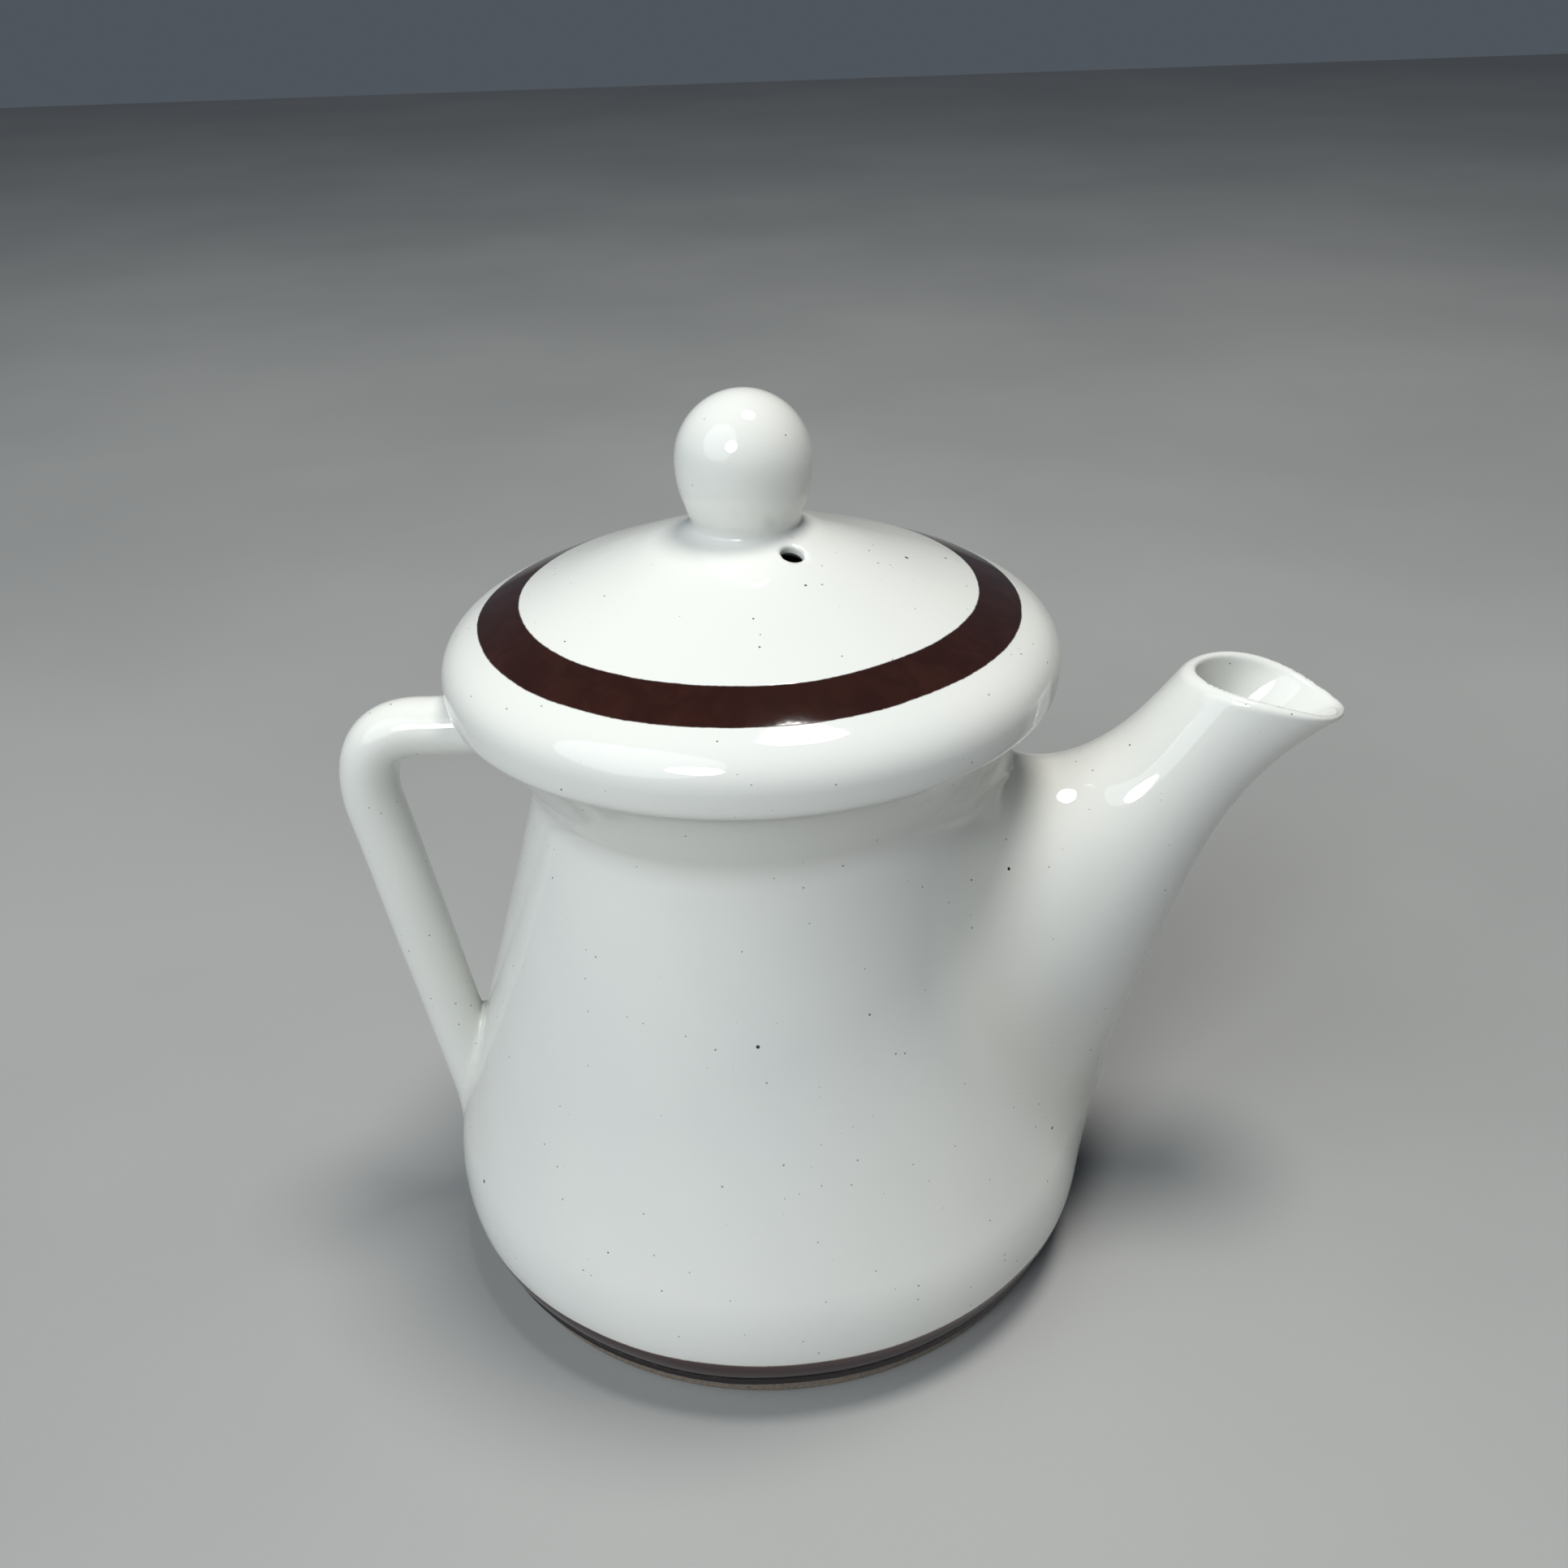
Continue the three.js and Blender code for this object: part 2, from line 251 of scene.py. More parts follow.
# (r, z) points from the axis round to the axis.
BODY_OUTSIDE = joined(
    [(0, 4.0), (69, 4.0)],
    bend((69, 4.0), (71.9, 4.0), (73.0, 5.4), 8),
    arc((54, 20.2), 23, -35.0, 0),
    arc((33, 20.2), 44, 0, TAPER_ANGLE),
    [(taper_radius(TAPER_TOP), TAPER_TOP)],
    bend((taper_radius(TAPER_TOP), TAPER_TOP), (48.4, 121.5), (50.6, 125.5)),
    [(58.7, 139.5)],
    bend((58.7, 139.5), (59.9, 142.7), (57.7, 143)),
    [(0, 143)],
)
BODY_HOLLOW = joined(
    [(0, 9.2), (57, 9.2)],
    bend((57, 9.2), (72.2, 9.2), (71.3, 30)),
    rounded([(71.3, 30, 0), (43.8, 122, 12), (46.5, 136.5, 1.2), (53.5, 136.5, 1.2), (53.5, 150, 0)]),
    [(0, 150)],
)

# The middle line of the handle as (x, z) points, and half its thickness in that plane and across it.
HANDLE_PATH = joined(
    [(-50, 133), (-71.3, 133)],
    bend((-71.3, 133), (-88.0, 134.3), (-85.8, 115), 40),
    [(-71.6, 34)],
    bend((-71.6, 34), (-70.8, 26), (-66, 20)),
)
HANDLE_IN_PLANE = 6.5
HANDLE_ACROSS = 7.5

# The spout's top and bottom edges: the control points of two cubic curves in (x, z), from root to lip.
# A place t on the spout is 0 at its root and 1 at its mouth, and a section joins the edges there.
SPOUT_TOP = np.array([(40, 118.5), (74.6, 111.4), (80.9, 120.9), (95.0, 138.8)], float)
SPOUT_BOTTOM = np.array([(66, 4), (99.8, 63.6), (90.4, 106.6), (131.7, 128.6)], float)
SPOUT_FIRST = -0.25
SPOUT_LAST = 1.1
SPOUT_FOOT = 14.0  # the spout's root ends at this height
SPOUT_FOOT_ROUNDING = 6.0

# The half width of the spout's sections: its least, and what each end adds.
SPOUT_LEAST = 13.3
ROOT_SPREAD = 22.0
ROOT_FLARE = 3.0
MOUTH_SPREAD = 2.3
# What is added above a root section's middle and taken off below it.
ROOT_EGG = 6.0
ROOT_EGG_FLARE = 3.0
BEAK = 0.4  # the share taken off the lip's lower side, which makes its beak

LIP_RISE = 2.0  # how far the mouth's rim bulges out of a straight line, seen from the side
LIP_ROUNDING = 2.0
SPOUT_WALL = 4.2  # the wall's thickness at the root
SPOUT_WALL_THINS = 1.3  # how much thinner it is at the lip
SPOUT_BORE_ROUNDING = 5.0

SPOUT_FILLET = 20.0
HANDLE_FILLET = 2.2
EDGE_ROUNDING = 1.6
SPOUT_SIDE = 22.0  # x past which the spout can matter
HANDLE_SIDE = -38.0  # x before which the handle can


def cubic(points, t):
    t = t[..., None]
    return (
        (1 - t) ** 3 * points[0]
        + 3 * t * (1 - t) ** 2 * points[1]
        + 3 * t**2 * (1 - t) * points[2]
        + t**3 * points[3]
    )


def spout_section(t):
    """Centre, up direction and half height of the spout's section at t."""
    top = cubic(SPOUT_TOP, t)
    bottom = cubic(SPOUT_BOTTOM, t)
    up = top - bottom
    tall = np.linalg.norm(up, axis=-1)
    return (top + bottom) / 2, up / tall[..., None], tall / 2


def spout_width(t, v):
    """The section's half width at the height v, which runs from -1 to 1. The section is wider above its
    middle at the root of the spout, and drawn to a point below at its lip."""
    root = soft_min(1 - t, 1.1, 0.12)
    wide = SPOUT_LEAST + ROOT_SPREAD * root**2 + ROOT_FLARE * root**8
    wide = wide + MOUTH_SPREAD * np.clip(t, 0, SPOUT_LAST) ** 6
    wide = wide + np.clip(v, -1, 1) * (ROOT_EGG * root**2 + ROOT_EGG_FLARE * root**8)
    return wide * (1 - BEAK * np.clip(t, 0, 1) ** 4 * np.clip(-v, 0, 1.2) ** 3)


def spout_place(x, z):
    """The place t of the section that each point of the spout's middle plane lies on. Each pair of sections
    claims the points between them, and a point that several claim goes to the pair whose middle is nearest,
    for its height."""
    ts = np.linspace(SPOUT_FIRST, SPOUT_LAST, 350)
    centre, up, tall = spout_section(ts)
    best = np.zeros(x.shape)
    cost = np.full(x.shape, FAR)
    for i in range(len(ts)):
        dx = x - centre[i, 0]
        dz = z - centre[i, 1]
        across = dx * up[i, 1] - dz * up[i, 0]
        along = np.abs(dx * up[i, 0] + dz * up[i, 1]) / tall[i]
        if i == 0:
            before_all = across < 0
        else:
            crossed = (across < 0) != (last < 0)
            k = last / np.where(last == across, 1, last - across)
            better = crossed & (along < cost)
            best = np.where(better, ts[i - 1] + k * (ts[i] - ts[i - 1]), best)
            cost = np.where(better, along, cost)
        last = across
    return np.where(cost == FAR, np.where(before_all, ts[0], ts[-1]), best)


body_table = turned_solid(BODY_OUTSIDE, widest=96, low=-6, high=160, step=0.5)
hollow_table = turned_solid(BODY_HOLLOW, widest=96, low=-6, high=160, step=0.5)
body_slopes = [
    Table(body_table.low, body_table.step, values)
    for values in np.gradient(body_table.values, body_table.step)
]
handle_table = table_of(lambda x, z: path_distance(HANDLE_PATH, x, z) ** 2, (-110, 0), (-30, 160), 0.5)
spout_table = table_of(spout_place, (15, -10), (150, 165), 1.0)


def handle_distance(p):
    """Distance to the handle's outside."""
    x, y, z = p.T
    a = HANDLE_IN_PLANE
    b = HANDLE_ACROSS
    in_plane = np.maximum(handle_table(x, z), 0)
    k = np.sqrt(in_plane / a**2 + y**2 / b**2) + SMALL
    return (k - 1) * k / np.sqrt(in_plane / a**4 + y**2 / b**4 + 1e-12)


def spout_distance(p):
    """Distance to the spout's outside, the way out of it, its place t, and the distance past its mouth."""
    x, y, z = p.T
    t = spout_table(x, z)
    centre, up, tall = spout_section(t)
    dx = x - centre[:, 0]
    dz = z - centre[:, 1]
    v = dx * up[:, 0] + dz * up[:, 1]
    wide = spout_width(t, v / tall)
    k = np.sqrt((v / tall) ** 2 + (y / wide) ** 2) + SMALL
    slope_v = v / tall**2 / k
    slope_y = y / wide**2 / k
    steepness = np.hypot(slope_v, slope_y) + SMALL
    away = np.stack([slope_v * up[:, 0], slope_y, slope_v * up[:, 1]], 1) / steepness[:, None]
    distance = soft_max((k - 1) / steepness, SPOUT_FOOT - z, SPOUT_FOOT_ROUNDING)

    mouth = SPOUT_BOTTOM[3] - SPOUT_TOP[3]
    length = np.linalg.norm(mouth)
    mouth = mouth / length
    mx = x - SPOUT_TOP[3, 0]
    mz = z - SPOUT_TOP[3, 1]
    share = np.clip((mx * mouth[0] + mz * mouth[1]) / length, 0, 1)
    past = -mx * mouth[1] + mz * mouth[0] - LIP_RISE * np.sin(math.pi * share)
    return distance, away, t, past


def fillet_share(a, b, k):
    """How far into the fillet of soft_min each point is, from 0 to 1."""
    return np.clip(1 - np.abs(a - b) / k, 0, 1)


def pot_parts(p):
    """The pot's field, which is negative in the clay, and how far each point is into a joint's fillet."""
    x, y, z = p.T
    r = np.hypot(x, y)
    solid = body_table(r, z)
    hollow = hollow_table(r, z)
    fillet = np.zeros(len(p))

    near = x > SPOUT_SIDE
    if near.any():
        q = p[near]
        rq = r[near]
        distance, away, t, past = spout_distance(q)
        slope_r, slope_z = (table(rq, q[:, 2]) for table in body_slopes)
        face = unit(np.stack([slope_r * q[:, 0] / rq, slope_r * q[:, 1] / rq, slope_z], 1))
        # The fillet is wide where the two walls meet squarely, and small where they run side by side.
        k = SPOUT_FILLET * np.clip(1 - (face * away).sum(1), 0.04, 1.3)
        horn = soft_max(distance, past, LIP_ROUNDING)
        fillet[near] = fillet_share(horn, solid[near], k)
        solid[near] = soft_min(solid[near], horn, k)
        wall = SPOUT_WALL - SPOUT_WALL_THINS * np.clip(t, 0, 1)
        hollow[near] = soft_min(hollow[near], distance + wall, SPOUT_BORE_ROUNDING)

    near = x < HANDLE_SIDE
    if near.any():
        distance = handle_distance(p[near])
        fillet[near] = fillet_share(distance, solid[near], HANDLE_FILLET)
        solid[near] = soft_min(solid[near], distance, HANDLE_FILLET)
    return soft_max(solid + waviness(p), -hollow, EDGE_ROUNDING), fillet


def pot_field(p):
    return pot_parts(p)[0]


def pot_fillet(p):
    return pot_parts(p)[1]


# ---------------------------------------------------------------- surfaces from fields

def in_lots(field, p, lot=400000):
    return np.concatenate([field(p[i : i + lot]) for i in range(0, len(p), lot)])


def slope(field, p, h=0.12):
    out = np.zeros(p.shape)
    for axis in range(3):
        step = np.zeros(3)
        step[axis] = h
        out[:, axis] = (in_lots(field, p + step) - in_lots(field, p - step)) / (2 * h)
    return out


def settle(field, p, rounds=3, most=0.8):
    """Moves points onto the surface where the field is zero, by no more than most in a round."""
    for _ in range(rounds):
        f = in_lots(field, p)
        g = slope(field, p)
        move = f / np.maximum((g**2).sum(1), 0.09)
        size = np.abs(move) * np.linalg.norm(g, axis=1)
        move *= np.minimum(1, most / np.maximum(size, SMALL))
        p = p - g * move[:, None]
    return p


def net(field, xs, ys, zs):
    """A closed mesh of four-sided faces near the field's zero surface. Every cell of the grid that the
    surface crosses gets a point, and every grid edge that it crosses gets a face."""
    grid = np.stack(np.meshgrid(xs, ys, zs, indexing="ij"), -1).reshape(-1, 3)
    f = in_lots(field, grid).reshape(len(xs), len(ys), len(zs))
    low = f < 0
    corners = [(a, b, c) for a in (0, 1) for b in (0, 1) for c in (0, 1)]
    count = sum(
        low[a : a + len(xs) - 1, b : b + len(ys) - 1, c : c + len(zs) - 1].astype(np.int8)
        for a, b, c in corners
    )
    ci, cj, ck = np.nonzero((count > 0) & (count < len(corners)))
    value = {}
    place = {}
    for c in corners:
        i, j, k = ci + c[0], cj + c[1], ck + c[2]
        value[c] = f[i, j, k]
        place[c] = np.stack([xs[i], ys[j], zs[k]], 1)

    total = np.zeros((len(ci), 3))
    hits = np.zeros(len(ci))
    for a in corners:
        for b in corners:
            if b > a and sum(abs(p - q) for p, q in zip(a, b)) == 1:
                cross = (value[a] < 0) != (value[b] < 0)
                k = value[a] / np.where(cross, value[a] - value[b], 1)
                total += np.where(cross[:, None], place[a] + (place[b] - place[a]) * k[:, None], 0)
                hits += cross
    points = total / hits[:, None]

    index = np.full([len(v) - 1 for v in (xs, ys, zs)], -1)
    index[ci, cj, ck] = np.arange(len(ci))
    faces = []
    for axis in range(3):
        u, v = [(1, 2), (2, 0), (0, 1)][axis]
        head = [slice(None)] * 3
        tail = [slice(None)] * 3
        head[axis] = slice(0, -1)
        tail[axis] = slice(1, None)
        first = low[tuple(head)]
        at = np.stack(np.nonzero(first != low[tuple(tail)]), 1)
        inner = (at[:, u] > 0) & (at[:, v] > 0)
        inner &= (at[:, u] < f.shape[u] - 1) & (at[:, v] < f.shape[v] - 1)
        at = at[inner]
        ring = []
        for du, dv in ((-1, -1), (0, -1), (0, 0), (-1, 0)):
            cell = at.copy()
            cell[:, u] += du
            cell[:, v] += dv
            ring.append(index[cell[:, 0], cell[:, 1], cell[:, 2]])
        quad = np.stack(ring, 1)
        outward = first[at[:, 0], at[:, 1], at[:, 2]]
        faces.append(np.where(outward[:, None], quad, quad[:, ::-1]))
    return points, np.concatenate(faces)


def relax(field, points, faces, rounds=2):
    """Evens out the spacing of the points, which stay on the surface."""
    edges = np.concatenate([faces[:, [i, (i + 1) % 4]] for i in range(4)])
    for _ in range(rounds):
        total = np.zeros(points.shape)
        hits = np.zeros(len(points))
        for a, b in ((0, 1), (1, 0)):
            for axis in range(3):
                total[:, axis] += np.bincount(edges[:, a], points[edges[:, b], axis], len(points))
            hits += np.bincount(edges[:, a], minlength=len(points))
        normal = unit(slope(field, points))
        move = (total / hits[:, None] - points) * 0.5
        move -= normal * (move * normal).sum(1)[:, None]
        points = settle(field, points + move, 1)
    return points


# ---------------------------------------------------------------- meshes

def to_scene(p):
    return (np.asarray(p, float) + [AXIS_X, 0, 0]) * MM


def to_plan(p):
    return np.asarray(p, float) / MM - [AXIS_X, 0, 0]


def linked(name, data):
    obj = bpy.data.objects.new(name, data)
    bpy.context.scene.collection.objects.link(obj)
    return obj


def facing_out(obj):
    b = bmesh.new()
    b.from_mesh(obj.data)
    bmesh.ops.recalc_face_normals(b, faces=b.faces[:])
    b.to_mesh(obj.data)
    b.free()
    return obj


def mesh_object(name, points, faces):
    mesh = bpy.data.meshes.new(name)
    mesh.from_pydata(to_scene(points).tolist(), [], [list(map(int, f)) for f in faces])
    mesh.validate()
    mesh.update()
    return linked(name, mesh)


def read(items, key, kind, width=1):
    """One value, or a row of them, from each of a mesh's items."""
    out = np.zeros(len(items) * width, kind)
    items.foreach_get(key, out)
    return out if width == 1 else out.reshape(-1, width)


def copy_object(obj, name):
    data = obj.data.copy()
    data.name = name
    return linked(name, data)


def boolean(obj, cutter, operation):
    modifier = obj.modifiers.new("cut", "BOOLEAN")
    modifier.operation = operation
    modifier.object = cutter
    modifier.solver = "MANIFOLD"
    depsgraph = bpy.context.evaluated_depsgraph_get()
    depsgraph.update()
    mesh = bpy.data.meshes.new_from_object(obj.evaluated_get(depsgraph))
    obj.modifiers.clear()
    old = obj.data
    obj.data = mesh
    mesh.name = obj.name
    bpy.data.meshes.remove(old)
    return obj


def discard(*objects):
    for obj in objects:
        mesh = obj.data
        bpy.data.objects.remove(obj)
        bpy.data.meshes.remove(mesh)


def cut(obj, cutter):
    """Takes the cutter's shape out of the piece, and the cutter out of the scene."""
    boolean(obj, cutter, "DIFFERENCE")
    discard(cutter)


def evenly(count):
    """Angles all the way round."""
    return np.linspace(0, FULL_TURN, count, endpoint=False)


def turned(name, path, angles, closed=True):
    """A piece turned round the axis from (r, z) points. Points on the axis become poles."""
    points = []
    rings = []
    for r, z in path:
        if r < 1e-6:
            rings.append([len(points)] * len(angles))
            points.append((0, 0, z))
        else:
            rings.append(list(range(len(points), len(points) + len(angles))))
            points += [(r * math.cos(a), r * math.sin(a), z) for a in angles]
    faces = []
    for a, b in zip(rings, rings[1:] + (rings[:1] if closed else [])):
        for i in range(len(angles)):
            j = (i + 1) % len(angles)
            face = list(dict.fromkeys((a[i], a[j], b[j], b[i])))
            if len(face) > 2:
                faces.append(face)
    return facing_out(mesh_object(name, points, faces))


def tube(name, rings):
    """A closed piece through rings of points, with flat ends."""
    n = len(rings[0])
    points = [p for ring in rings for p in ring]
    faces = [
        (i * n + j, i * n + (j + 1) % n, (i + 1) * n + (j + 1) % n, (i + 1) * n + j)
        for i in range(len(rings) - 1) for j in range(n)
    ]
    faces += [tuple(range(n))[::-1], tuple(range((len(rings) - 1) * n, len(rings) * n))]
    return facing_out(mesh_object(name, points, faces))


def smooth(obj, degrees):
    """Smooth shading, except over edges sharper than degrees."""
    mesh = obj.data
    mesh.polygons.foreach_set("use_smooth", np.ones(len(mesh.polygons), bool))
    mesh.set_sharp_from_angle(angle=math.radians(degrees))
    return obj


def glazed(obj, field, off_surface):
    """Gives a piece the true normals of its field, and flat ones to the faces that have a point further
    than off_surface from it or that lean away from it, which are the cuts between pieces."""
    mesh = obj.data
    p = to_plan(read(mesh.vertices, "co", float, 3))
    normal = unit(slope(field, p, 0.2))
    off = np.abs(in_lots(field, p)) >= off_surface
    corner_point = read(mesh.loops, "vertex_index", int)
    totals = read(mesh.polygons, "loop_total", int)
    flat = read(mesh.polygons, "normal", float, 3)
    owner = np.repeat(np.arange(len(totals)), totals)
    smooth_normal = normal[corner_point]
    is_cut = np.bincount(owner, off[corner_point], len(totals)) > 0
    agreement = np.bincount(owner, (smooth_normal * flat[owner]).sum(1), len(totals)) / totals
    is_cut |= agreement < 0.5
    chosen = np.where(is_cut[owner][:, None], flat[owner], smooth_normal)
    mesh.polygons.foreach_set("use_smooth", np.ones(len(totals), bool))
    mesh.normals_split_custom_set(chosen.tolist())
    mesh.update()
    return obj


def mark_fillets(obj, share):
    """Keeps share(point) on the mesh, for the glaze to read."""
    mesh = obj.data
    weights = in_lots(share, to_plan(read(mesh.vertices, "co", float, 3)))
    mesh.attributes.new("fillet", "FLOAT", "POINT").data.foreach_set("value", weights.astype(np.float32))


# ---------------------------------------------------------------- pot

# The grid is finest across the handle, at the mouth of the spout, and at the foot and the collar.
points, faces = net(
    pot_field,
    graded((-96, 1.1), (-45, 1.9), (62, 1.2), (91.5, 0.85), (135.5,)),
    graded((-79.2, 1.9), (-16.72, 0.88), (16.72, 1.9), (79.2,)),
    graded((1.9, 0.83), (8.54, 1.25), (20, 1.9), (106, 1.1), (118, 0.85), (146,)),
)
points = settle(pot_field, points)
points = relax(pot_field, points, faces)
points = settle(pot_field, points, 2)
pot = mesh_object("pot", points, faces)

SPOUT_CUT = 2.6  # how far outside the spout it is cut from the body
HANDLE_CUT = HANDLE_FILLET / 4
ROUND = evenly(96)


def spout_rings(grow):
    """Rings round the spout, grow outside it."""
    out = []
    for t in np.linspace(0, 1.09, 60):
        centre, up, tall = spout_section(np.array([t]))
        v = np.cos(ROUND)
        reach = v * (tall + grow)
        side = np.sin(ROUND) * (spout_width(t, v) + grow)
        out.append(np.stack([centre[0, 0] + reach * up[0, 0], side, centre[0, 1] + reach * up[0, 1]], 1))
    return out


def handle_rings(grow):
    """Rings round the handle, grow outside it."""
    path = np.array(spaced(HANDLE_PATH, 2.0))
    along = np.gradient(path, axis=0)
    along /= np.linalg.norm(along, axis=1)[:, None]
    reach = (HANDLE_IN_PLANE + grow) * np.cos(ROUND)
    side = (HANDLE_ACROSS + grow) * np.sin(ROUND)
    return [np.stack([x - tz * reach, side, z + tx * reach], 1) for (x, z), (tx, tz) in zip(path, along)]


body_core = turned("body_core", spaced(BODY_OUTSIDE, 6), evenly(180), closed=False)
spout_cutter = boolean(tube("spout_cutter", spout_rings(SPOUT_CUT)), body_core, "DIFFERENCE")
handle_cutter = boolean(tube("handle_cutter", handle_rings(HANDLE_CUT)), body_core, "DIFFERENCE")
spout = boolean(copy_object(pot, "spout_horn"), spout_cutter, "INTERSECT")
handle = boolean(copy_object(pot, "handle_loop"), handle_cutter, "INTERSECT")
cut(pot, spout_cutter)
cut(pot, handle_cutter)
pot.name = "body_shell"
pot.data.name = "body_shell"
discard(body_core)
for piece in (pot, spout, handle):
    mark_fillets(piece, pot_fillet)
    glazed(piece, pot_field, off_surface=0.3)


# ---------------------------------------------------------------- lid

NECK = 179.65  # where the knob stands on the cap
LID_OUTSIDE = joined(
    bend((11.9, NECK), (11.2, 178.1), (11.45, 177.4), 12),
    bend((11.45, 177.4), (11.9, 176.25), (15.5, 175.28), 16),
    [(43.9, 164.2)],
    bend((43.9, 164.2), (54.2, 160.1), (59.8, 157.1), 12),
    bend((59.8, 157.1), (65.5, 153.9), (65.6, 148.6)),
    bend((65.6, 148.6), (65.65, 145.8), (65.3, 144.7), 8),
    bend((65.3, 144.7), (64.9, 143.45), (63.6, 143.4), 10),
    [(60.8, 143.4)],
)
LID_UNDERSIDE = joined(
    [(48, 143.4), (48, 145.3)],
    bend((48, 145.3), (49, 155.4), (42, 159.6)),
    bend((42, 159.6), (30, 165.2), (18, 170.9), 12),
    bend((18, 170.9), (7, 171.6), (6, 174.2), 14),
    [(6, NECK)],
)
KNOB_OUTSIDE = joined(
    arc((0, 190.3), 14.1, 90, 0, 48),
    bend((14.1, 190.3), (14.05, 185.6), (12.9, 182.6)),
    bend((12.9, 182.6), (12.35, 181.0), (11.9, NECK)),
)
KNOB_BORE = joined([(6, NECK), (6, 189)], bend((6, 189), (6, 192), (3, 192), 8), [(0, 192)])

# The steam hole, square to the lid's slope. It is straight at first and flares out below.
HOLE_RADIUS = 2.35
HOLE_STRAIGHT = 1.9
HOLE_FLARE = 0.9
HOLE_ROUNDING = 1.1
HOLE_ANGLE = math.radians(-56.6)
HOLE_LEAN = math.radians(21)
HOLE_TOP = np.array([16.4 * math.cos(HOLE_ANGLE), 16.4 * math.sin(HOLE_ANGLE), 174.93])
HOLE_WAY = np.array([
    math.sin(HOLE_LEAN) * math.cos(HOLE_ANGLE),
    math.sin(HOLE_LEAN) * math.sin(HOLE_ANGLE),
    math.cos(HOLE_LEAN),
])

lid_path = joined(KNOB_OUTSIDE, LID_OUTSIDE, LID_UNDERSIDE, KNOB_BORE)
lid_table = turned_solid(lid_path, widest=70, low=137.8, high=210, step=0.3)


def hole_radius(depth):
    return HOLE_RADIUS + np.maximum(depth - HOLE_STRAIGHT, 0) * HOLE_FLARE


def lid_field(p):
    """Negative in the cap and the knob. Only the cap's upper side is wavy."""
    x, y, z = p.T
    r = np.hypot(x, y)
    depth = (HOLE_TOP - p) @ HOLE_WAY
    hole = np.linalg.norm(HOLE_TOP - p - depth[:, None] * HOLE_WAY, axis=1) - hole_radius(depth)
    hole = np.where(depth > -4, hole, 9.0)
    upper = np.clip((r - 15) / 10, 0, 1) * np.clip((z - 143.8) / 3, 0, 1)
    return soft_max(lid_table(r, z) + waviness(p + 31, 0.09) * upper, -hole, HOLE_ROUNDING)


cap = turned(
    "lid_dome",
    joined(thinned(LID_OUTSIDE, 1.6, 0.35, 11.5, 21.5), thinned(LID_UNDERSIDE, 3.0, 0.8, 10, 22)),
    HOLE_ANGLE + np.radians(graded((-13, 0.65), (13, 1.5), (347,)))[:-1],
)
hole_u = np.array([-math.sin(HOLE_ANGLE), math.cos(HOLE_ANGLE), 0])
hole_v = np.cross(HOLE_WAY, hole_u)
hole_round = np.cos(evenly(56))[:, None] * hole_u + np.sin(evenly(56))[:, None] * hole_v
cut(cap, tube("drill", [
    HOLE_TOP - depth * HOLE_WAY + hole_radius(depth) * hole_round
    for depth in np.arange(6.3, -2.8, -0.35)
]))
p = to_plan(read(cap.data.vertices, "co", float, 3))
moved = settle(lid_field, p)
at_neck = np.abs(p[:, 2] - NECK) < 1e-3
moved[at_neck] = p[at_neck]
cap.data.vertices.foreach_set("co", to_scene(moved).ravel())
knob = turned("lid_ball", joined(spaced(KNOB_OUTSIDE, 0.9), KNOB_BORE), evenly(200), closed=False)
for piece in (cap, knob):
    glazed(piece, lid_field, off_surface=0.06)

flange = smooth(turned("lid_ring", rounded([
    (48.0, 145.0, 0), (48.0, 138.2, 1.2), (52.4, 138.2, 1.4),
    (52.6, 142.6, 1.0), (54.2, 143.6, 0), (54.2, 145.0, 0),
]), evenly(200)), 50)
foot = smooth(turned("foot", rounded([
    (61.4, 4.2, 0), (61.0, 1.2, 1.2), (62.6, 0, 0.9),
    (69.6, 0, 0.7), (71.1, 1.4, 1.2), (70.9, 4.2, 0),
]), evenly(220)), 50)


# ---------------------------------------------------------------- infuser basket

BASKET_HOLE = 0.85  # radius
WALL_ROWS = 19
WALL_HOLES = 72  # in a row
ROW_PITCH = 3.25
FIRST_ROW = 70.5
FLOOR_RINGS = 9
FLOOR_PITCH = 3.7

rim = smooth(turned("basket_rim", rounded([
    (41.9, 136.9, 0.3), (52.0, 136.6, 0.25), (52.6, 137.0, 0.3), (52.3, 137.9, 0.35),
    (51.4, 137.5, 0.3), (44.0, 137.6, 0.8), (42.6, 137.9, 0.4),
], closed=True), evenly(200)), 35)


def perforate(obj, places, radius=BASKET_HOLE, length=3.5, sides=10):
    """Cuts a small round hole through the piece at each (point, direction)."""
    points = []
    faces = []
    for at, way in places:
        way = Vector(way).normalized()
        u = way.orthogonal().normalized()
        v = way.cross(u)
        near = [len(points) + i for i in range(sides)]
        far = [i + sides for i in near]
        for end in (-length / 2, length / 2):
            for a in (FULL_TURN * i / sides for i in range(sides)):
                points.append(tuple(Vector(at) + way * end + radius * (u * math.cos(a) + v * math.sin(a))))
        faces += [
            (near[i], near[(i + 1) % sides], far[(i + 1) % sides], far[i]) for i in range(sides)
        ]
        faces += [tuple(near[::-1]), tuple(far)]
    cut(obj, facing_out(mesh_object("holes", points, faces)))
    return smooth(obj, 30)


def wall_radius(z):
    return 38.5 + 3.7 * (z - 63) / 74


def wall_holes():
    for row in range(WALL_ROWS):
        z = FIRST_ROW + ROW_PITCH * row
        for i in range(WALL_HOLES):
            a = FULL_TURN * (i + 0.5 * (row % 2)) / WALL_HOLES
            way = (math.cos(a), math.sin(a), 0)
            yield (wall_radius(z) * way[0], wall_radius(z) * way[1], z), way


def floor_holes():
    for ring in range(1, FLOOR_RINGS + 1):
        for i in range(6 * ring):
            a = FULL_TURN * i / (6 * ring)
            yield (FLOOR_PITCH * ring * math.cos(a), FLOOR_PITCH * ring * math.sin(a), 62.6), (0, 0, 1)


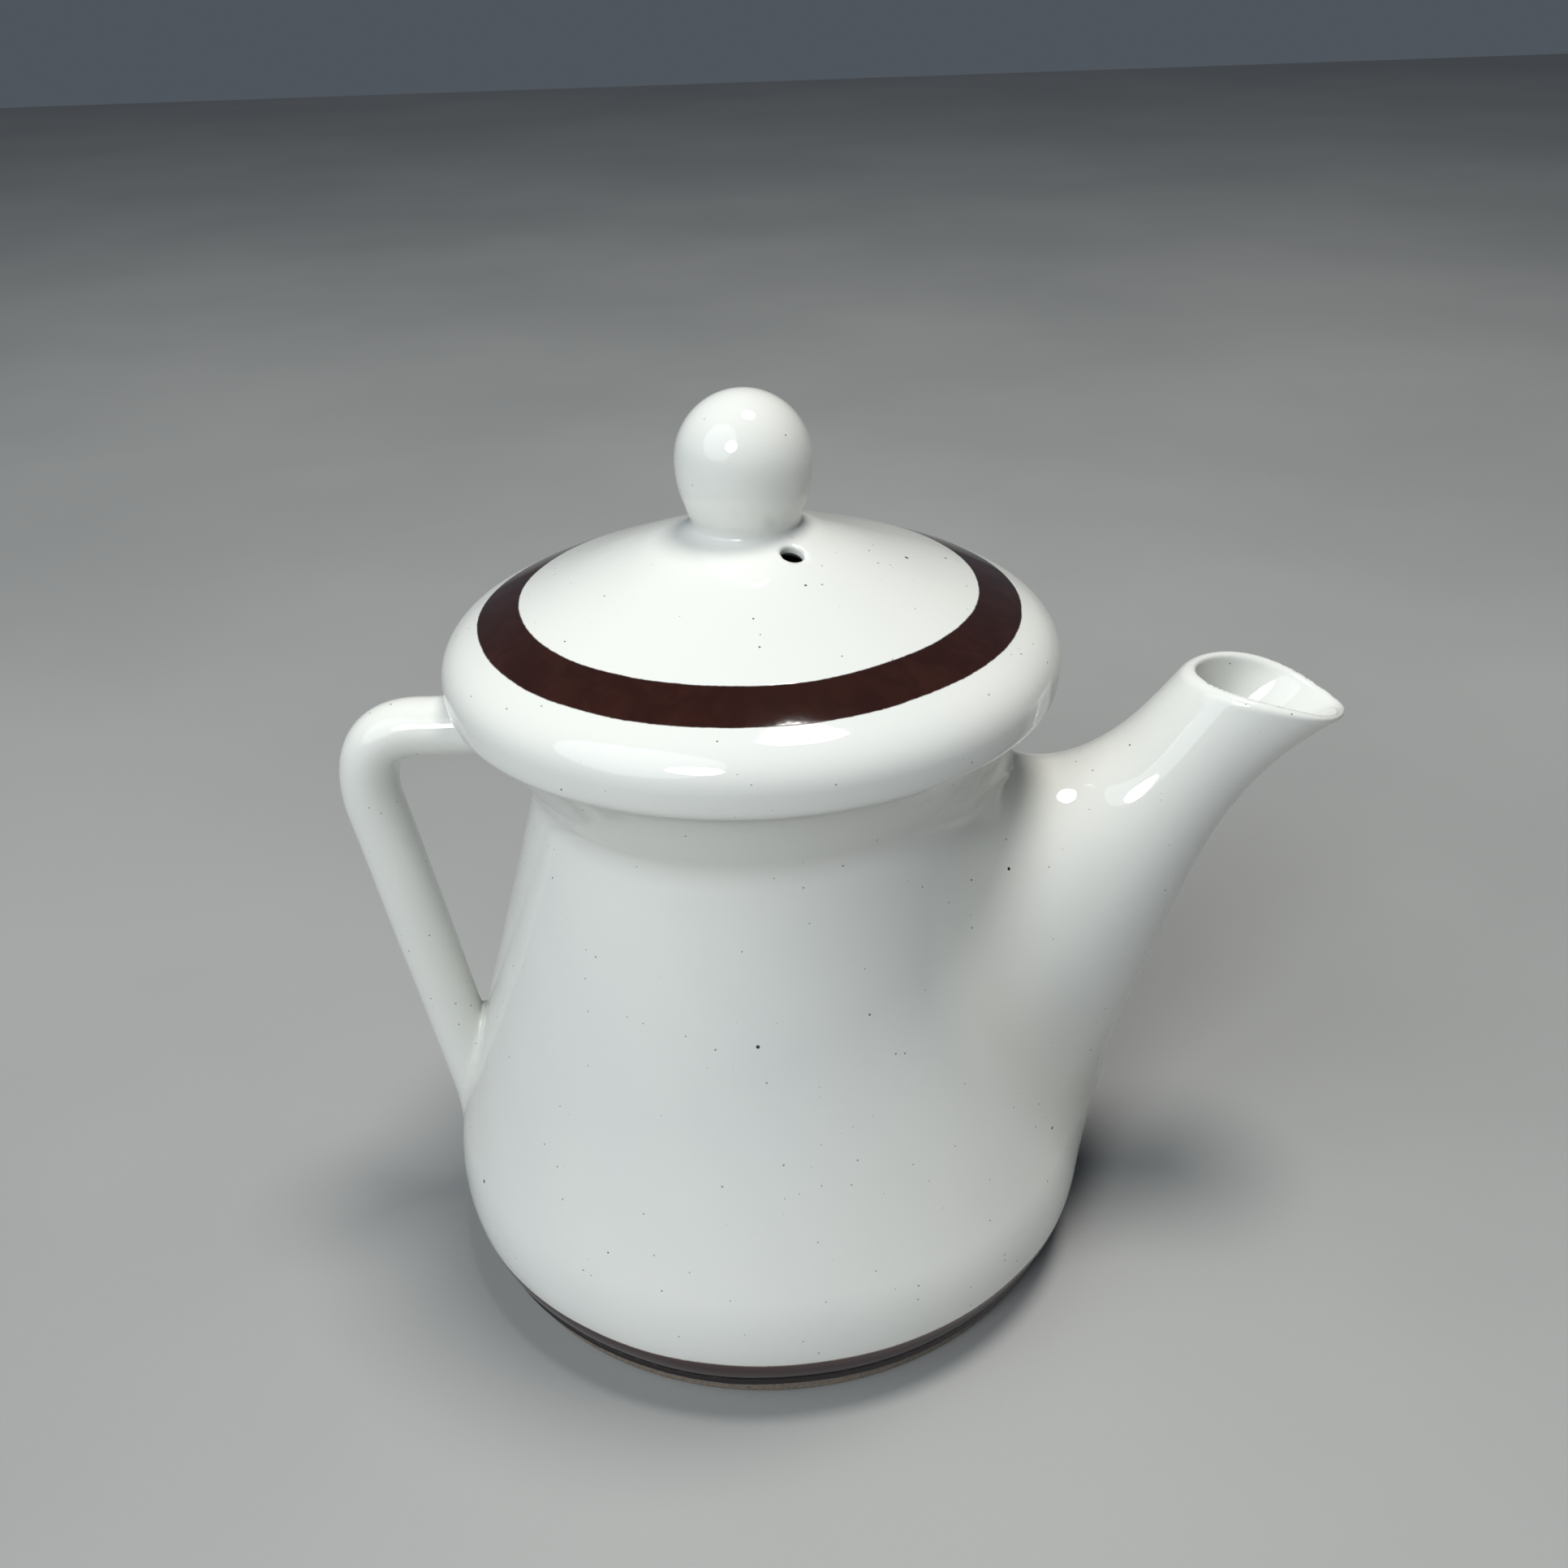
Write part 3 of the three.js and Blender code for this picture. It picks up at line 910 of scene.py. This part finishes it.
wall = perforate(turned("basket_wall", rounded([
    (38.0, 62.6, 0), (38.0, 63.6, 0.3), (41.7, 137.2, 0.3),
    (42.5, 137.2, 0.3), (38.9, 63.0, 0.4), (38.6, 62.6, 0),
]), evenly(180)), wall_holes())
base = perforate(turned("basket_base", rounded([
    (0, 62.1, 0), (37.0, 62.1, 0.3), (38.1, 62.8, 0.5),
    (38.1, 64.6, 0.2), (37.5, 64.6, 0.2), (37.3, 63.1, 0.8), (0, 63.0, 0),
]), evenly(120), closed=False), floor_holes())


def tab(name, side):
    """A lifting tab with a finger slot, that stands on the rim in front of the axis or behind it."""
    outline = [(9, -1.6)]
    outline += [(9 * math.cos(a), 4.4 + 4.6 * math.sin(a) ** 0.8) for a in np.linspace(0, math.pi, 24)]
    outline += [(-9, -1.6)]
    slot = [
        (4.6 * math.cos(a) + 1.4 * np.sign(math.cos(a)), 4.5 + 1.6 * math.sin(a)) for a in evenly(32)
    ]

    def plate(path, near, far):
        return tube(name, [[(x, side * y, 138.1 + z) for x, z in path] for y in (near, far)])

    piece = plate(outline, 44.6, 45.4)
    cut(piece, plate(slot, 43, 47))
    return smooth(piece, 30)


tab_front = tab("basket_tab_front", -1)
tab_back = tab("basket_tab_back", 1)

for piece, body, node, slot_name in (
    (pot, "pot", "pot_body", "white_glaze"),
    (spout, "pot", "spout", "white_glaze"),
    (handle, "pot", "handle", "white_glaze"),
    (foot, "pot", "foot_ring", "bisque"),
    (cap, "lid", "lid_cap", "white_glaze"),
    (knob, "lid", "lid_knob", "white_glaze"),
    (flange, "lid", "lid_flange", "white_glaze"),
    (rim, "infuser", "infuser_rim", "steel"),
    (wall, "infuser", "infuser_wall", "steel"),
    (base, "infuser", "infuser_base", "steel"),
    (tab_front, "infuser", "infuser_tab_front", "steel"),
    (tab_back, "infuser", "infuser_tab_back", "steel"),
):
    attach(piece, body)
    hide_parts(node)


# ---------------------------------------------------------------- materials

class Nodes:
    """A material and short calls for its nodes. Its x, y and z are metres from the pot's axis."""

    def __init__(self, name):
        self.material = bpy.data.materials.new(name)
        self.material.use_nodes = True
        self.tree = self.material.node_tree
        self.shader = self.tree.nodes["Principled BSDF"]
        self.place = self.new("ShaderNodeTexCoord").outputs["Object"]
        centred = self.new("ShaderNodeVectorMath", operation="SUBTRACT")
        self.put(centred.inputs[0], self.place)
        self.put(centred.inputs[1], (AXIS_X * MM, 0, 0))
        split = self.new("ShaderNodeSeparateXYZ")
        self.put(split.inputs[0], centred.outputs[0])
        self.x, self.y, self.z = split.outputs

    def new(self, kind, **settings):
        node = self.tree.nodes.new(kind)
        for key, value in settings.items():
            setattr(node, key, value)
        return node

    def put(self, socket, value):
        if isinstance(value, bpy.types.NodeSocket):
            self.tree.links.new(value, socket)
        else:
            socket.default_value = value

    def math(self, operation, a, b=None):
        node = self.new("ShaderNodeMath", operation=operation)
        self.put(node.inputs[0], a)
        if b is not None:
            self.put(node.inputs[1], b)
        return node.outputs[0]

    def plus(self, a, b):
        return self.math("ADD", a, b)

    def times(self, a, b):
        return self.math("MULTIPLY", a, b)

    def noise(self, scale, detail=2.0, rough=0.5, place=None, distortion=0.0):
        node = self.new("ShaderNodeTexNoise")
        self.put(node.inputs["Vector"], place or self.place)
        self.put(node.inputs["Scale"], scale)
        self.put(node.inputs["Detail"], detail)
        self.put(node.inputs["Roughness"], rough)
        self.put(node.inputs["Distortion"], distortion)
        return node.outputs["Fac"]

    def fit(self, value, a, b, c=0.0, d=1.0):
        """Eases from c to d while value goes from a to b."""
        node = self.new("ShaderNodeMapRange", interpolation_type="SMOOTHSTEP")
        self.put(node.inputs["Value"], value)
        for key, v in (("From Min", a), ("From Max", b), ("To Min", c), ("To Max", d)):
            self.put(node.inputs[key], v)
        return node.outputs["Result"]

    def mix(self, factor, a, b):
        node = self.new("ShaderNodeMix", data_type="RGBA")
        self.put(node.inputs["Factor"], factor)
        for key, colour in (("A", a), ("B", b)):
            self.put(node.inputs[key], (*colour, 1) if isinstance(colour, tuple) else colour)
        return node.outputs["Result"]

    def stretched(self, scale):
        node = self.new("ShaderNodeMapping")
        self.put(node.inputs["Vector"], self.place)
        self.put(node.inputs["Scale"], scale)
        return node.outputs[0]

    def specks(self, scale, share, size):
        """1 in small round spots, found in a share of the cells."""
        cells = self.new("ShaderNodeTexVoronoi", feature="F1")
        self.put(cells.inputs["Vector"], self.place)
        self.put(cells.inputs["Scale"], scale)
        pick = self.new("ShaderNodeSeparateColor")
        self.put(pick.inputs[0], cells.outputs["Color"])
        chosen = self.math("LESS_THAN", pick.outputs[0], share)
        reach = self.times(self.fit(pick.outputs[1], 0, 1, 0.35, 1.0), size)
        spot = self.fit(self.math("DIVIDE", cells.outputs["Distance"], reach), 0.6, 1.0, 1.0, 0.0)
        return self.times(chosen, spot)

    def look(self, colour, roughness):
        self.put(self.shader.inputs["Base Color"], colour)
        self.put(self.shader.inputs["Roughness"], roughness)

    def bump(self, height, distance, strength):
        node = self.new("ShaderNodeBump")
        self.put(node.inputs["Height"], height)
        self.put(node.inputs["Distance"], distance)
        self.put(node.inputs["Strength"], strength)
        self.put(self.shader.inputs["Normal"], node.outputs[0])


# Where the painted bands end, in metres: radii on the lid, and a height and a radius on the body.
LID_BAND_IN = 0.0480
LID_BAND_OUT = 0.0571
BASE_BAND_TOP = 0.0154
BAND_EDGE = 0.00016
LID_FROM = 0.152  # nothing painted on the body is as high as this
BASE_BAND_IN = 0.0545  # the base band keeps outside this radius

WHITE = (0.795, 0.80, 0.765)
WARM_WHITE = (0.83, 0.825, 0.775)
CREAM_PAINTED_SHADE = (0.78, 0.755, 0.66)
FRECKLE = (0.20, 0.16, 0.12)
SPECK = (0.06, 0.045, 0.035)
IRON = (0.02, 0.016, 0.014)
LID_BROWN = (0.024, 0.0065, 0.0042)
LID_BROWN_LIGHT = (0.036, 0.0105, 0.0065)
BASE_BROWN_PAINTED_SHADE = (0.010, 0.005, 0.006)
BASE_BROWN = (0.042, 0.013, 0.012)
RIM_LINE = (0.70, 0.60, 0.50)


def glaze():
    n = Nodes("glaze")
    radius = n.math("SQRT", n.plus(n.times(n.x, n.x), n.times(n.y, n.y)))
    wander = n.times(n.math("SUBTRACT", n.noise(42, 3), 0.5), 0.0009)
    ragged = n.times(n.math("SUBTRACT", n.noise(900, 2), 0.5), 0.0002)
    edge = n.plus(wander, ragged)
    r = n.plus(radius, edge)
    h = n.plus(n.z, edge)
    on_lid = n.math("GREATER_THAN", n.z, LID_FROM)
    inner = n.fit(r, LID_BAND_IN - BAND_EDGE, LID_BAND_IN + BAND_EDGE)
    outer = n.fit(r, LID_BAND_OUT - BAND_EDGE, LID_BAND_OUT + BAND_EDGE, 1.0, 0.0)
    lid_band = n.times(n.times(inner, outer), on_lid)
    outside = n.math("GREATER_THAN", radius, BASE_BAND_IN)
    below = n.fit(h, BASE_BAND_TOP - BAND_EDGE, BASE_BAND_TOP + BAND_EDGE, 1.0, 0.0)
    brown = n.math("MAXIMUM", lid_band, n.times(below, outside))

    fillet = n.new("ShaderNodeAttribute", attribute_name="fillet").outputs["Fac"]
    white = n.mix(n.fit(n.noise(17, 3), 0.3, 0.7), WHITE, WARM_WHITE)
    # Painted shade: the white turns a darker cream in the fillets where the spout and the handle join the
    # body.
    fillet_painted_shade = n.times(fillet, n.fit(n.noise(60, 2), 0.2, 0.8, 0.25, 0.6))
    white = n.mix(fillet_painted_shade, white, CREAM_PAINTED_SHADE)
    white = n.mix(n.times(n.specks(330, 0.45, 0.10), 0.75), white, FRECKLE)
    white = n.mix(n.times(n.specks(260, 0.55, 0.075), 0.95), white, SPECK)
    white = n.mix(n.specks(90, 0.25, 0.05), white, IRON)

    brushed = n.noise(150, 4, 0.6, n.stretched((1, 1, 0.2)), 0.6)
    lid_brown = n.mix(n.fit(brushed, 0.35, 0.75), LID_BROWN, LID_BROWN_LIGHT)
    # Painted shade: the base band is darker below 8.5 mm, where its underside turns down towards the floor.
    base_brown_with_painted_shade = n.mix(n.fit(h, 0.0085, 0.0115), BASE_BROWN_PAINTED_SHADE, BASE_BROWN)
    colour = n.mix(brown, white, n.mix(on_lid, base_brown_with_painted_shade, lid_brown))
    rim_line = n.times(n.fit(h, 0.0149, 0.0153), n.fit(h, 0.0154, 0.0158, 1.0, 0.0))
    colour = n.mix(n.times(n.times(rim_line, outside), 0.35), colour, RIM_LINE)
    gloss = n.fit(n.noise(55, 3), 0.2, 0.8, 0.025, 0.06)
    n.look(colour, n.plus(gloss, n.times(brown, 0.02)))
    n.shader.inputs["IOR"].default_value = 1.53

    ripple = n.times(n.noise(260, 2), 0.5)
    pits = n.times(n.specks(420, 0.05, 0.12), -0.6)
    step = n.times(brown, -0.35)
    n.bump(n.plus(n.plus(ripple, pits), step), 0.00010, 0.55)
    return n.material


def bisque():
    n = Nodes("bisque")
    grain = n.noise(1400, 4, 0.7)
    colour = n.mix(n.fit(grain, 0.3, 0.7), (0.15, 0.12, 0.092), (0.25, 0.21, 0.17))
    colour = n.mix(n.times(n.specks(700, 0.2, 0.3), 0.8), colour, (0.05, 0.04, 0.032))
    # Painted shadow: the foot darkens over its lowest 1.2 mm, where it stands on the floor.
    painted_contact_shadow = n.fit(n.z, 0.0, 0.0012, 0.55, 0.0)
    colour = n.mix(painted_contact_shadow, colour, (0.09, 0.075, 0.062))
    n.look(colour, n.fit(grain, 0.2, 0.8, 0.7, 0.95))
    n.bump(n.plus(grain, n.times(n.noise(300, 3), 0.7)), 0.00022, 0.8)
    return n.material


def steel():
    n = Nodes("steel")
    drawn = n.noise(1, 4, 0.65, n.stretched((90, 90, 5200)))
    smear = n.noise(48, 4, 0.6)
    colour = n.mix(n.fit(smear, 0.3, 0.75), (0.63, 0.62, 0.60), (0.53, 0.52, 0.50))
    n.look(colour, n.plus(n.fit(drawn, 0.25, 0.75, 0.20, 0.36), n.times(smear, 0.08)))
    n.shader.inputs["Metallic"].default_value = 1.0
    n.bump(drawn, 0.00003, 0.6)
    return n.material


def wear(material, *objects):
    for obj in objects:
        obj.data.materials.clear()
        obj.data.materials.append(material)


wear(glaze(), pot, spout, handle, cap, knob, flange)
wear(bisque(), foot)
wear(steel(), rim, wall, base, tab_front, tab_back)


# ---------------------------------------------------------------- floor, light and camera

def floor(reach=3.0):
    mesh = bpy.data.meshes.new("floor")
    corners = [(-reach, -reach, 0), (reach, -reach, 0), (reach, reach, 0), (-reach, reach, 0)]
    mesh.from_pydata(corners, [], [(0, 1, 2, 3)])
    obj = linked("floor", mesh)
    n = Nodes("floor")
    cloud = n.noise(3.0, 4)
    colour = n.mix(n.fit(cloud, 0.3, 0.7), (0.36, 0.36, 0.352), (0.40, 0.396, 0.387))
    n.look(colour, n.fit(cloud, 0.3, 0.7, 0.55, 0.68))
    n.bump(n.noise(700, 3), 0.0001, 0.3)
    mesh.materials.append(n.material)


def lamp(name, toward, distance, size, power, colour):
    """A round soft lamp, size across, that faces the middle of the pot."""
    data = bpy.data.lights.new(name, "AREA")
    data.shape = "ELLIPSE"
    data.size = size
    data.size_y = size
    data.energy = power
    data.color = colour
    obj = linked(name, data)
    way = Vector(toward).normalized()
    obj.location = Vector((AXIS_X * MM, 0, 0.1)) + way * distance
    obj.rotation_euler = way.to_track_quat("Z", "Y").to_euler()


floor()
lamp("overhead", (0.15, 0.03, 0.99), distance=1.5, size=0.45, power=14.3, colour=(1.0, 0.985, 0.94))
lamp("front", (-0.31, -0.72, 0.62), distance=1.6, size=0.5, power=7.5, colour=(0.95, 0.985, 1.0))
lamp("sky", (-0.58, -0.5, 0.64), distance=2.4, size=2.5, power=27, colour=(0.86, 0.95, 1.0))
world = bpy.data.worlds.new("studio")
world.use_nodes = True
background = world.node_tree.nodes["Background"]
background.inputs["Color"].default_value = (0.72, 0.84, 1.0, 1)
background.inputs["Strength"].default_value = 0.11
bpy.context.scene.world = world
bpy.context.scene.view_settings.view_transform = "Standard"

# The camera looks down at the pot from in front of it.
CAMERA_Y = -0.30868
CAMERA_Z = 0.28661
yaw, pitch, roll = (math.radians(v) for v in (1.12, 29.09, -1.88))
camera_data = bpy.data.cameras.new("camera")
camera_data.lens = 36.0
camera_data.sensor_width = 36.0
camera_data.clip_start = 0.01
camera = linked("camera", camera_data)
forward = Vector((math.sin(yaw) * math.cos(pitch), math.cos(yaw) * math.cos(pitch), -math.sin(pitch)))
level = forward.cross(Vector((0, 0, 1))).normalized()
above = level.cross(forward)
right = level * math.cos(roll) + above * math.sin(roll)
up = right.cross(forward)
camera.matrix_world = Matrix((
    (right.x, up.x, -forward.x, AXIS_X * MM),
    (right.y, up.y, -forward.y, CAMERA_Y),
    (right.z, up.z, -forward.z, CAMERA_Z),
    (0, 0, 0, 1),
))
bpy.context.scene.camera = camera
